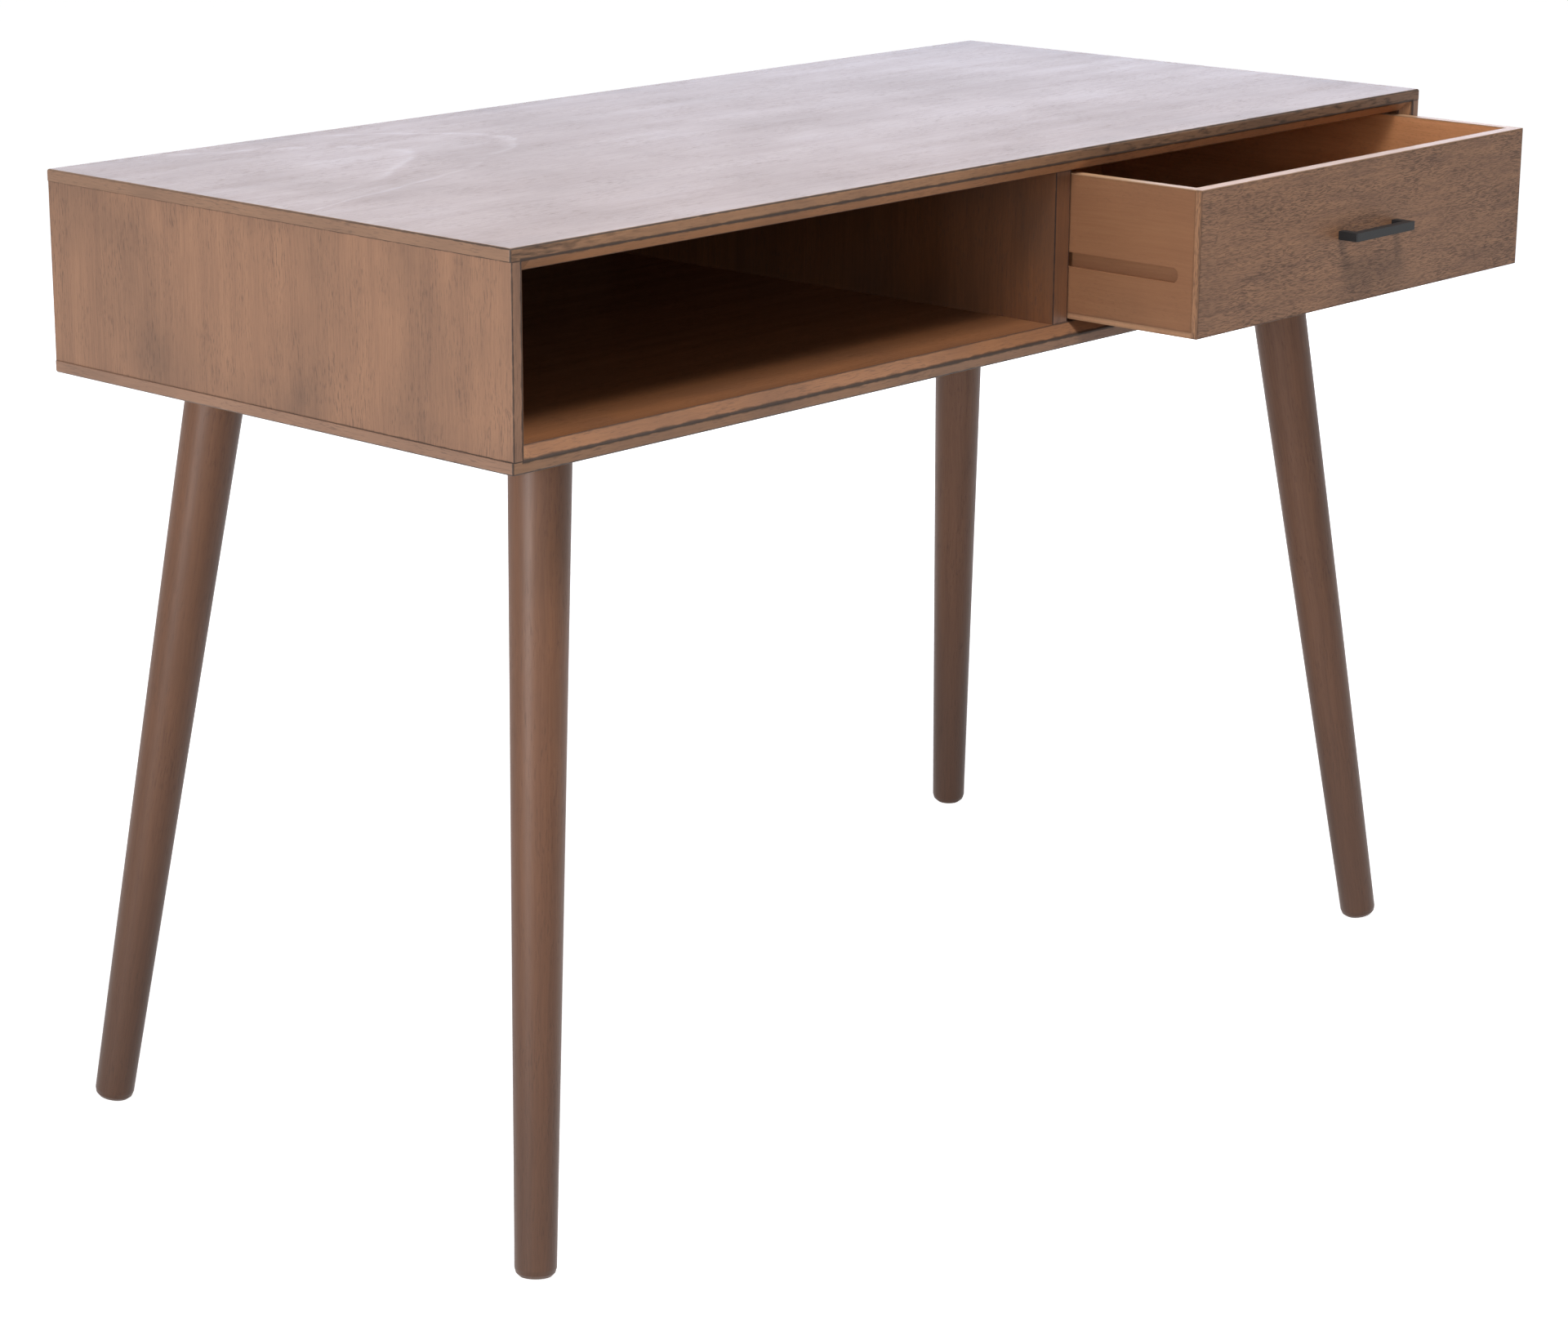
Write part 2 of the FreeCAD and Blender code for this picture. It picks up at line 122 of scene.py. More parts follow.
def held_within(tree, mm, low, high):
    """1 for points inside a box, 0 for the rest."""
    x, y, z = depths_inside(tree, mm, low, high)
    least = add(tree, "Math", {"operation": "MINIMUM"}, {0: x, 1: y}).outputs[0]
    least = add(tree, "Math", {"operation": "MINIMUM"}, {0: least, 1: z}).outputs[0]
    return add(tree, "Math", {"operation": "GREATER_THAN"}, {0: least, 1: 0}).outputs[0]


def end_strips(tree, mm, node, along):
    """Turns the grain on the two ends of a board, where a strip of edge veneer covers the core."""
    low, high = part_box(node)
    middle, half = (low.x + high.x) / 2 * MM, (high.x - low.x) / 2 * MM
    axes = list(add(tree, "SeparateXYZ", {}, {0: mm}).outputs)
    aside = add(tree, "Math", {"operation": "SUBTRACT"}, {0: axes[0], 1: middle}).outputs[0]
    away = add(tree, "Math", {"operation": "ABSOLUTE"}, {0: aside}).outputs[0]
    at_end = add(tree, "Math", {"operation": "GREATER_THAN"}, {0: away, 1: half - END_VENEER}).outputs[0]
    axes[0], axes[along] = axes[along], axes[0]
    turned = add(tree, "CombineXYZ", {}, dict(enumerate(axes))).outputs[0]
    return add(tree, "Mix", {"data_type": "VECTOR"}, {
        "Factor": at_end, "A": mm, "B": turned}).outputs["Result"]


def toned(**tones):
    """Zones of the case in a colour of their own, some of them painted shade and some painted light: their corners,
    pale and deep colour.
    """
    return [(*CASE_ZONES[zone], *tone) for zone, tone in tones.items()]


def stain_clouds(tree, board, grain, distance, cloud):
    """Uneven stain in soft clouds a hand wide, fuller near the edges: the haze, and how much it darkens."""
    cloud_size, edge_zone, middle_share = (110, 90), (8, 60), 0.55
    haze = grain_pattern(tree, board, grain, *cloud_size, detail=4)["Fac"]
    clouds = add(tree, "MapRange", {}, {
        "Value": haze, "From Min": 0.42, "From Max": 0.7, "To Max": cloud}).outputs[0]
    near_edge = add(tree, "MapRange", {"interpolation_type": "SMOOTHSTEP"}, {
        "Value": distance, "From Min": edge_zone[0], "From Max": edge_zone[1],
        "To Min": 1, "To Max": middle_share}).outputs[0]
    return haze, add(tree, "Math", {"operation": "MULTIPLY"}, {0: clouds, 1: near_edge}).outputs[0]


def filled_pores(tree, wavy, board, grain, size, amount, start, scattered):
    """Dark dashes of filled pores, crowded in places. Real ones are 0.1 to 0.3 mm wide, too fine to show in the
    render, so the dashes are drawn two or three times as wide."""
    crowd_size, softness = (60, 26), 0.13
    streaks = grain_pattern(tree, wavy, grain, *size)["Fac"]
    pores = add(tree, "MapRange", {}, {
        "Value": streaks, "From Min": start, "From Max": start + softness}).outputs[0]
    crowd = grain_pattern(tree, board, grain, *crowd_size)["Fac"]
    crowding = add(tree, "MapRange", {}, {
        "Value": crowd, "From Min": 0.38, "From Max": 0.62,
        "To Min": amount * scattered, "To Max": amount}).outputs[0]
    return add(tree, "Math", {"operation": "MULTIPLY"}, {0: pores, 1: crowding}).outputs[0]


def edge_glaze(tree, mm, distance, amount, line):
    """Ragged line of glaze along a board's edges, heavier towards the front of the desk."""
    full_width, narrow, wide = line
    rear_share, ragged_size = 0.4, 11
    y = add(tree, "SeparateXYZ", {}, {0: mm}).outputs[1]
    heavy = add(tree, "MapRange", {}, {
        "Value": y, "From Min": CASE_FRONT, "From Max": CASE_REAR,
        "To Min": amount, "To Max": amount * rear_share}).outputs[0]
    ragged = add(tree, "TexNoise", {}, {"Vector": mm, "Scale": 1 / ragged_size, "Detail": 4}).outputs["Fac"]
    reach = add(tree, "MapRange", {}, {
        "Value": ragged, "From Min": 0.32, "From Max": 0.68, "To Min": narrow, "To Max": wide}).outputs[0]
    return add(tree, "MapRange", {"interpolation_type": "SMOOTHSTEP"}, {
        "Value": distance, "From Min": full_width, "From Max": reach, "To Min": heavy, "To Max": 0}).outputs[0]


def frame_lines(tree, mm):
    """Glaze left on the front of the case, where the flat edge meets the bevel and the bevel meets the inside."""
    half_width, half_height, centre_z, bevel_back = 540, 69.5, 681.5, -243.4
    outer_line, inner_line = (0, 2.0, 0.9), (-9, 0.9, 0.7)
    full, narrow, wide, ragged_size = 0.3, 0.5, 1.5, 14
    x, y, z = add(tree, "SeparateXYZ", {}, {0: mm}).outputs
    aside = add(tree, "Math", {"operation": "ABSOLUTE"}, {0: x}).outputs[0]
    past_x = add(tree, "Math", {"operation": "SUBTRACT"}, {0: aside, 1: half_width}).outputs[0]
    above = add(tree, "Math", {"operation": "SUBTRACT"}, {0: z, 1: centre_z}).outputs[0]
    away = add(tree, "Math", {"operation": "ABSOLUTE"}, {0: above}).outputs[0]
    past_z = add(tree, "Math", {"operation": "SUBTRACT"}, {0: away, 1: half_height}).outputs[0]
    outwards = add(tree, "Math", {"operation": "MAXIMUM"}, {0: past_x, 1: past_z}).outputs[0]
    ragged = add(tree, "TexNoise", {}, {"Vector": mm, "Scale": 1 / ragged_size, "Detail": 3}).outputs["Fac"]
    lines = []
    for offset, width, amount in (outer_line, inner_line):
        gap = add(tree, "Math", {"operation": "SUBTRACT"}, {0: outwards, 1: offset}).outputs[0]
        off = add(tree, "Math", {"operation": "ABSOLUTE"}, {0: gap}).outputs[0]
        reach = add(tree, "MapRange", {}, {
            "Value": ragged, "From Min": 0.3, "From Max": 0.7,
            "To Min": width * narrow, "To Max": width * wide}).outputs[0]
        lines.append(add(tree, "MapRange", {"interpolation_type": "SMOOTHSTEP"}, {
            "Value": off, "From Min": width * full, "From Max": reach, "To Min": amount, "To Max": 0}).outputs[0])
    both = add(tree, "Math", {"operation": "MAXIMUM"}, {0: lines[0], 1: lines[1]}).outputs[0]
    at_front = add(tree, "Math", {"operation": "LESS_THAN"}, {0: y, 1: bevel_back}).outputs[0]
    return add(tree, "Math", {"operation": "MULTIPLY"}, {0: both, 1: at_front}).outputs[0]


def front_glaze_and_shade(tree, mm, board, grain, smear_and_shade):
    """Glaze on the case front: streaks by the left corner and the frame's lines; painted shade over the drawer."""
    streak_size, least_streak, drawer_shade_share = (16, 2.5), 0.1, 0.5
    corner_from, corner_to, past_corner = -540, -360, 0.15
    drawer_shade_from, drawer_shade_to = -40, 120
    x, y, _ = add(tree, "SeparateXYZ", {}, {0: mm}).outputs
    wiped = grain_pattern(tree, board, grain, *streak_size, detail=3)["Fac"]
    streaky = add(tree, "MapRange", {}, {
        "Value": wiped, "From Min": 0.4, "From Max": 0.68,
        "To Min": smear_and_shade * least_streak, "To Max": smear_and_shade}).outputs[0]
    near_corner = add(tree, "MapRange", {"interpolation_type": "SMOOTHSTEP"}, {
        "Value": x, "From Min": corner_from, "From Max": corner_to, "To Min": 1, "To Max": past_corner}).outputs[0]
    # Painted shade: the flat front over the drawer turns dark, as a film with streaks, where the drawer shades it
    shade_over_drawer = add(tree, "MapRange", {"interpolation_type": "SMOOTHSTEP"}, {
        "Value": x, "From Min": drawer_shade_from, "From Max": drawer_shade_to}).outputs[0]
    streak_and_shade_zone = add(tree, "Math", {"operation": "MAXIMUM"}, {0: near_corner, 1: shade_over_drawer}).outputs[0]
    streaks = add(tree, "Math", {"operation": "MULTIPLY"}, {0: streaky, 1: streak_and_shade_zone}).outputs[0]
    painted_drawer_shade = add(tree, "Math", {"operation": "MULTIPLY"}, {0: shade_over_drawer, 1: smear_and_shade * drawer_shade_share}).outputs[0]
    streaks_and_shade = add(tree, "Math", {"operation": "MAXIMUM"}, {0: streaks, 1: painted_drawer_shade}).outputs[0]
    flat_front = add(tree, "Math", {"operation": "LESS_THAN"}, {0: y, 1: FLAT_FRONT}).outputs[0]
    front_streaks_and_shade = add(tree, "Math", {"operation": "MULTIPLY"}, {0: streaks_and_shade, 1: flat_front}).outputs[0]
    return add(tree, "Math", {"operation": "MAXIMUM"}, {0: front_streaks_and_shade, 1: frame_lines(tree, mm)}).outputs[0]


def stained_wood(name, node, grain, colours, band_size, pore_size, pore_amount, cloud, roughness, wander=(70, 7),
                 fibres=0.45, figure=None, zones=(), rim=None, strips=None, lean=None, foot_shade=0, pore_start=0.54,
                 scattered=0.25, glazed=0.9, edge_line=(0.4, 0.9, 2.8), smear_and_shade=0):
    """Stained wood under lacquer for one node: growth bands, uneven stain, pores and glaze at the edges.

    Sizes are in millimetres, along the grain and then across it. Colours are pale wood, deep wood and filled
    pores. wander: length and width of the waves in the grain. fibres: their share in the bands. figure: draws a
    veneer's special lines. zones: boxes with pale and deep colours of their own, some of them painted shade and
    some painted light. rim: level, colour and roughness of a sanded upper edge, whose pale colour is partly a
    painted highlight. strips: the axis that the grain of the ends follows. lean: slant of a leg. foot_shade: painted
    shade that darkens a leg towards the floor. pore_start: higher for fewer pores. scattered: share of pores where
    they are fewest. glazed: glaze at the edges. edge_line: its full, narrowest and widest reach. smear_and_shade:
    glaze streaks on the front of the case, and painted shade on it over the drawer.
    """
    fibre_size, figure_polish = (60, 1.6), 0.055
    foot_shade_from, foot_shade_to = 40, 420
    dull_pores, dull_glaze, dull_haze, dull_bands = 0.2, 0.3, 0.08, 0.12
    pore_relief, pore_hollow = 0.25, 0.0002
    pale, deep, pore = (to_linear(code) for code in colours)
    material, tree, shader = new_material(name)
    place = add(tree, "TexCoord").outputs["Object"]
    mm = add(tree, "VectorMath", {"operation": "SCALE"}, {0: place, "Scale": MM}).outputs[0]
    height = add(tree, "SeparateXYZ", {}, {0: mm}).outputs[2]
    board = mm
    if strips:
        board = end_strips(tree, mm, node, strips)
    if lean:
        leaned = add(tree, "VectorMath", {"operation": "SCALE"}, {0: lean, "Scale": height}).outputs[0]
        board = add(tree, "VectorMath", {"operation": "SUBTRACT"}, {0: mm, 1: leaned}).outputs[0]
    wave_length, wave_width = wander
    drift = add(tree, "TexNoise", {}, {
        "Vector": board, "Scale": 1 / wave_length, "Detail": 2}).outputs["Color"]
    wavy = add(tree, "VectorMath", {"operation": "MULTIPLY_ADD"}, {
        0: drift, 1: (wave_width,) * 3, 2: board}).outputs[0]

    # Growth bands, broken by finer fibres
    bands = grain_pattern(tree, wavy, grain, *band_size)["Fac"]
    fibre = grain_pattern(tree, wavy, grain, *fibre_size)["Fac"]
    growth = add(tree, "Mix", {}, {"Factor": fibres, "A": bands, "B": fibre}).outputs["Result"]
    depth = add(tree, "MapRange", {}, {"Value": growth, "From Min": 0.28, "From Max": 0.72}).outputs[0]
    if figure:
        shine = figure(tree, wavy)
        depth = add(tree, "Math", {"operation": "SUBTRACT", "use_clamp": True}, {0: depth, 1: shine}).outputs[0]
        roughness = add(tree, "Math", {"operation": "MULTIPLY_ADD"}, {
            0: shine, 1: -figure_polish, 2: roughness}).outputs[0]
    wood = add(tree, "Mix", {"data_type": "RGBA"}, {"Factor": depth, "A": pale, "B": deep}).outputs["Result"]
    for low, high, zone_pale, zone_deep in zones:
        zone_wood = add(tree, "Mix", {"data_type": "RGBA"}, {
            "Factor": depth, "A": to_linear(zone_pale), "B": to_linear(zone_deep)}).outputs["Result"]
        wood = add(tree, "Mix", {"data_type": "RGBA"}, {
            "Factor": held_within(tree, mm, low, high), "A": wood, "B": zone_wood}).outputs["Result"]
    if rim:
        rim_level, rim_and_highlight_colour, rim_roughness = rim
        below_rim = add(tree, "Math", {"operation": "LESS_THAN"}, {0: height, 1: rim_level}).outputs[0]
        # The rim's colour: a paler sanded edge, partly a painted highlight
        wood = add(tree, "Mix", {"data_type": "RGBA"}, {
            "Factor": below_rim, "A": to_linear(rim_and_highlight_colour), "B": wood}).outputs["Result"]
        roughness = add(tree, "MapRange", {}, {
            "Value": below_rim, "To Min": rim_roughness, "To Max": roughness}).outputs[0]

    # Uneven stain, and painted shade that darkens a leg towards the floor
    distance = edge_distance(tree, mm, node)
    haze, stain = stain_clouds(tree, board, grain, distance, cloud)
    if foot_shade:
        painted_foot_shade = add(tree, "MapRange", {"interpolation_type": "SMOOTHSTEP"}, {
            "Value": height, "From Min": foot_shade_from, "From Max": foot_shade_to,
            "To Min": foot_shade, "To Max": 0}).outputs[0]
        stain = add(tree, "Math", {"operation": "MAXIMUM"}, {0: stain, 1: painted_foot_shade}).outputs[0]
    stained = add(tree, "Mix", {"data_type": "RGBA"}, {"Factor": stain, "A": wood, "B": pore}).outputs["Result"]

    # Pores, but none in a rim
    pores = filled_pores(tree, wavy, board, grain, pore_size, pore_amount, pore_start, scattered)
    if rim:
        pores = add(tree, "Math", {"operation": "MULTIPLY"}, {0: pores, 1: below_rim}).outputs[0]
    colour = add(tree, "Mix", {"data_type": "RGBA"}, {"Factor": pores, "A": stained, "B": pore}).outputs["Result"]

    # Glaze left along the edges and on the front, with painted shade over the drawer in the same dark colour
    dulled = [(pores, dull_pores), (haze, dull_haze), (growth, dull_bands)]
    if glazed:
        glaze_and_shade = edge_glaze(tree, mm, distance, glazed, edge_line)
        if smear_and_shade:
            glaze_and_shade_on_front = front_glaze_and_shade(tree, mm, board, grain, smear_and_shade)
            glaze_and_shade = add(tree, "Math", {"operation": "MAXIMUM"}, {0: glaze_and_shade, 1: glaze_and_shade_on_front}).outputs[0]
        colour = add(tree, "Mix", {"data_type": "RGBA"}, {
            "Factor": glaze_and_shade, "A": colour, "B": to_linear(GLAZE_AND_SHADE_COLOUR)}).outputs["Result"]
        dulled.append((glaze_and_shade, dull_glaze))
    tree.links.new(colour, shader.inputs["Base Color"])

    # Lacquer, duller over pores, glaze and deep bands, and sunk into the pores
    for source, share in dulled:
        roughness = add(tree, "Math", {"operation": "MULTIPLY_ADD"}, {
            0: source, 1: share, 2: roughness}).outputs[0]
    tree.links.new(roughness, shader.inputs["Roughness"])
    shader.inputs["IOR"].default_value = LACQUER_IOR
    relief = add(tree, "Bump", {"invert": True}, {
        "Strength": pore_relief, "Distance": pore_hollow, "Height": pores}).outputs[0]
    tree.links.new(relief, shader.inputs["Normal"])
    finish_node(node, material)


def arches(tree, wavy):
    """Two open arches of flat-cut veneer at the left of the top face, each with a pale outer edge."""
    outer_x, axis_y, opening, top_face = -165, 150, 90, 758
    bend, bend_size, patch_size, span = (50, 24, 0), (160, 60), (45, 14), 240
    rings = ((0, 0), (4, 1), (13, 0.35), (20, 0), (44, 0.3), (70, 0.1), (104, 0.15), (112, 0.9), (126, 0.35),
             (150, 0.1), (190, 0.3), (span, 0.1))
    uneven = grain_pattern(tree, wavy, ALONG_X, *bend_size)["Color"]
    bent = add(tree, "VectorMath", {"operation": "MULTIPLY_ADD"}, {0: uneven, 1: bend, 2: wavy}).outputs[0]
    x, y, z = add(tree, "SeparateXYZ", {}, {0: bent}).outputs
    aside = add(tree, "Math", {"operation": "SUBTRACT"}, {0: y, 1: axis_y}).outputs[0]
    squared = add(tree, "Math", {"operation": "MULTIPLY"}, {0: aside, 1: aside}).outputs[0]
    arch = add(tree, "Math", {"operation": "MULTIPLY_ADD"}, {0: squared, 1: 1 / opening, 2: x}).outputs[0]
    inwards = add(tree, "MapRange", {}, {
        "Value": arch, "From Min": outer_x, "From Max": outer_x - span}).outputs[0]
    ramp = add(tree, "ValToRGB", {}, {0: inwards})
    for inset, amount in rings[1:-1]:
        ramp.color_ramp.elements.new(inset / span).color = (amount, amount, amount, 1)
    for end in (0, -1):
        amount = rings[end][1]
        ramp.color_ramp.elements[end].color = (amount, amount, amount, 1)
    patchy = grain_pattern(tree, wavy, ALONG_X, *patch_size, detail=3)["Fac"]
    broken = add(tree, "MapRange", {}, {"Value": patchy, "From Min": 0.3, "From Max": 0.6}).outputs[0]
    on_top = add(tree, "Math", {"operation": "GREATER_THAN"}, {0: z, 1: top_face}).outputs[0]
    shown = add(tree, "Math", {"operation": "MULTIPLY"}, {0: on_top, 1: broken}).outputs[0]
    return add(tree, "Math", {"operation": "MULTIPLY"}, {0: ramp.outputs["Color"], 1: shown}).outputs[0]


# Stained walnut veneer gives the eye long soft bands with short dark dashes, cloudy brown, near-black ragged
# edges, and a satin sheen that turns a low view of the top to a pale grey.
FLAT_CUT_WALNUT = ("#917055", "#82624c", "#4b3a34")
# Inside the cubby the faces are painted darker: painted shade, as the cubby lies in shade
CUBBY_PAINTED_SHADE = ("#84573a", "#6b462f")
TOP_END, BOTTOM_END = ("#96735b", "#83634d"), ("#a27c64", "#8e6c57")
# The bevels are a plainer, paler cut and are painted lighter still, and the flat fronts are painted lighter: painted
# light for the light they catch from below and in front
TOP_ZONES = toned(inside=CUBBY_PAINTED_SHADE, bevel=("#c48d64", "#b5815a"), front=("#a57a58", "#906849"),
                  left_end=TOP_END, right_end=TOP_END)
BOTTOM_ZONES = toned(inside=("#94623f", "#794f34"), bevel=("#a0714f", "#8b6042"), front=("#9d7455", "#8a6448"),
                     left_end=BOTTOM_END, right_end=BOTTOM_END)
# smear_and_shade: glaze streaks by the left front corner, and painted shade on the flat front over the drawer
for node, figure, smear_and_shade, zones in (("top_panel", arches, 0.85, TOP_ZONES),
                                   ("bottom_panel", None, 0.2, BOTTOM_ZONES)):
    stained_wood(f"stained_walnut_veneer_{node}", node, ALONG_X, FLAT_CUT_WALNUT, band_size=(300, 18),
                 pore_size=(9, 0.9), pore_amount=0.45, cloud=0.35, roughness=0.26, figure=figure, zones=zones,
                 strips=ALONG_Y, edge_line=(0.8, 1.1, 2.2), smear_and_shade=smear_and_shade)

# Sides and divider: the same 18 mm board with its veneer grain upright. The sides stand between the laps of the
# top and bottom, and the divider is housed in them. The stain took less evenly on this veneer, and the eye sees
# a warmer, cloudier brown with more pores.

WALNUT = ("#a0775c", "#85624d", "#523f35")
# The sides' inner faces and the divider are painted darker as shade; the bevels are a paler cut painted lighter
# still as light
SIDE_ZONES = toned(inside=CUBBY_PAINTED_SHADE, bevel=("#b07d56", "#996a47"))
for node in ("left_side_panel", "right_side_panel", "divider_panel"):
    stained_wood(f"stained_walnut_veneer_{node}", node, ALONG_Z, WALNUT, band_size=(400, 16), pore_size=(8, 0.85),
                 pore_amount=0.6, cloud=0.5, roughness=0.32, fibres=0.5, zones=SIDE_ZONES,
                 edge_line=(0.4, 0.7, 1.7), smear_and_shade=0.08)

# Back panel: thin plywood let into the rebate at the rear of the case and pinned there. It is stained like the
# case but hardly lacquered, which gives the eye a dry, even brown with thin long grain.

stained_wood("stained_plywood_back_panel", "back_panel", ALONG_X, ("#93704f", "#7d5b43", "#4a362b"),
             band_size=(600, 16), pore_size=(14, 1.1), pore_amount=0.35, cloud=0.3, roughness=0.6)

# Legs: turned from solid walnut with a long taper, leaned outwards in two directions and bolted up into the
# bottom panel. Stained and rubbed to a satin, they show a soft line of light down each leg and narrow grain
# along it, and painted shade darkens each leg towards the floor.

CASE_UNDERSIDE = 0.603
LEG_TOP_X, LEG_TOP_Y = 0.450, 0.177
FOOT_REACH = 0.0156
for end, side in (("front", -1), ("rear", 1)):
    for hand, across in (("left", -1), ("right", 1)):
        leg = f"{end}_{hand}_leg"
        low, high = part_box(leg)
        foot_x = (low.x if across < 0 else high.x) - across * FOOT_REACH
        foot_y = (low.y if side < 0 else high.y) - side * FOOT_REACH
        lean = ((across * LEG_TOP_X - foot_x) / CASE_UNDERSIDE, (side * LEG_TOP_Y - foot_y) / CASE_UNDERSIDE, 0)
        stained_wood(f"stained_turned_walnut_{leg}", leg, ALONG_Z, ("#79523a", "#63412d", "#3a2820"),
                     band_size=(260, 8), pore_size=(9, 1.1), pore_amount=0.35, cloud=0.3, roughness=0.36,
                     lean=lean, foot_shade=0.5, glazed=0)

# Runners and stop: beech strips, planed, waxed and glued inside the drawer bay, where the drawer's grooves ride on
# them. Beech gives the eye a pale, plain tan with short fine flecks and little shine.

for node, grain in (("left_runner", ALONG_Y), ("right_runner", ALONG_Y), ("drawer_stop", ALONG_X)):
    stained_wood(f"planed_beech_{node}", node, grain, ("#c9a277", "#b58a5f", "#8d6742"), band_size=(200, 9),
                 pore_size=(3, 0.6), pore_amount=0.3, cloud=0.1, roughness=0.55, glazed=0)

# Drawer box: plain close-grained beech boards. The sides are grooved for the runners, and the bottom is pinned
# under them. Stained outside and only sealed inside, they are a quiet brown from the side, a warm orange tan
# within, and glossy on the sanded rim, whose pale colour is partly a painted highlight.

SKIN, RIM_DEPTH = 0.2, 0.7
left_end, top_of_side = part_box("drawer_left_side")[1].x * MM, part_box("drawer_left_side")[1].z * MM
right_end, back_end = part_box("drawer_right_side")[0].x * MM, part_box("drawer_back")[0].y * MM
front_end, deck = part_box("drawer_front")[1].y * MM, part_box("drawer_bottom")[1].z * MM
DRAWER_INSIDE = ((left_end - SKIN, front_end - SKIN, deck - SKIN),
                 (right_end + SKIN, back_end + SKIN, top_of_side + SKIN), "#da9969", "#c48455")
# The rim's pale colour is partly the sanded edge and partly a painted highlight; its lower roughness is real
DRAWER_RIM_AND_HIGHLIGHT = (top_of_side - RIM_DEPTH, "#c49b78", 0.26)
for node, grain in (("drawer_left_side", ALONG_Y), ("drawer_right_side", ALONG_Y), ("drawer_back", ALONG_X)):
    stained_wood(f"stained_beech_{node}", node, grain, ("#8f6343", "#825639", "#5a3d2c"), band_size=(400, 25),
                 pore_size=(4, 0.8), pore_amount=0.2, cloud=0.25, roughness=0.5, zones=(DRAWER_INSIDE,),
                 rim=DRAWER_RIM_AND_HIGHLIGHT, glazed=0.25)
stained_wood("sealed_beech_drawer_bottom", "drawer_bottom", ALONG_X, ("#b58a68", "#a67a5a", "#6b4a33"),
             band_size=(400, 25), pore_size=(4, 0.8), pore_amount=0.2, cloud=0.2, roughness=0.5, glazed=0.25)

# Drawer front: a 12 mm board rebated over the drawer's sides and bottom, faced with a lively walnut veneer. The
# eye sees close, curly dark pores that run along the desk over a mid brown, and a pale rim like that of the sides,
# its paleness partly a painted highlight.

BELOW_CASE, ABOVE_CASE, PAST_DRAWER = 600, 760, 1000
FRONT_RIM_AND_HIGHLIGHT = (top_of_side - RIM_DEPTH, "#b98d69", 0.26)
front_low, front_high = (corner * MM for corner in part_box("drawer_front"))
FRONT_ENDS = [((x - END_VENEER, -PAST_DRAWER, BELOW_CASE), (x + END_VENEER, PAST_DRAWER, ABOVE_CASE),
               "#a97c5b", "#94694a") for x in (front_low.x, front_high.x)]
stained_wood("stained_walnut_veneer_drawer_front", "drawer_front", ALONG_X, ("#a87a58", "#7e5a43", "#3a2a23"),
             band_size=(60, 6), pore_size=(8, 0.6), pore_amount=0.7, cloud=0.12, roughness=0.36, wander=(30, 5),
             zones=FRONT_ENDS, rim=FRONT_RIM_AND_HIGHLIGHT, strips=ALONG_Z, pore_start=0.46, scattered=0.6, glazed=0.5)

# Pull: square steel bar bent to a low bow, powder coated matt black and screwed on from inside the drawer. The
# coat gives the eye a soft grey sheen with a fine grit. Real grit is about 0.3 mm and is drawn at 0.6 mm to show.

GRIT, COAT_IOR = 0.6, 1.45
coat, tree, shader = new_material("matt_black_powder_coat")
grit_place = add(tree, "TexCoord").outputs["Object"]
grit = add(tree, "TexNoise", {}, {"Vector": grit_place, "Scale": MM / GRIT, "Detail": 2}).outputs["Fac"]
coat_colour = add(tree, "Mix", {"data_type": "RGBA"}, {
    "Factor": grit, "A": to_linear("#0b0c0e"), "B": to_linear("#16171a")}).outputs["Result"]
tree.links.new(coat_colour, shader.inputs["Base Color"])
shader.inputs["IOR"].default_value = COAT_IOR
coat_dull = add(tree, "MapRange", {}, {"Value": grit, "To Min": 0.46, "To Max": 0.62}).outputs[0]
tree.links.new(coat_dull, shader.inputs["Roughness"])
grit_relief = add(tree, "Bump", {}, {"Strength": 0.2, "Distance": 0.0001, "Height": grit}).outputs[0]
tree.links.new(grit_relief, shader.inputs["Normal"])
finish_node("drawer_pull", coat)

# Leg bolts and sleeves: turned steel, zinc plated, hidden in the legs and the bottom panel. Plating gives the eye
# a pale grey metal with a cloudy bloom. The real bloom is finer than 1 mm and is drawn at 1.5 mm to show.

BLOOM = 1.5
zinc, tree, shader = new_material("zinc_plated_steel")
bloom_place = add(tree, "TexCoord").outputs["Object"]
bloom = add(tree, "TexNoise", {}, {"Vector": bloom_place, "Scale": MM / BLOOM, "Detail": 3}).outputs["Fac"]
zinc_colour = add(tree, "Mix", {"data_type": "RGBA"}, {
    "Factor": bloom, "A": to_linear("#a9adb0"), "B": to_linear("#c4c6c7")}).outputs["Result"]
tree.links.new(zinc_colour, shader.inputs["Base Color"])
shader.inputs["Metallic"].default_value = 1
zinc_dull = add(tree, "MapRange", {}, {"Value": bloom, "To Min": 0.42, "To Max": 0.26}).outputs[0]
tree.links.new(zinc_dull, shader.inputs["Roughness"])
for node in ("leg_bolts", "leg_inserts"):
    finish_node(node, zinc)

# Pull screws: two pan-head machine screws that hold the pull from inside the drawer, cold headed from wire with a
# cross recess pressed into the head, and zinc plated like the bolts.


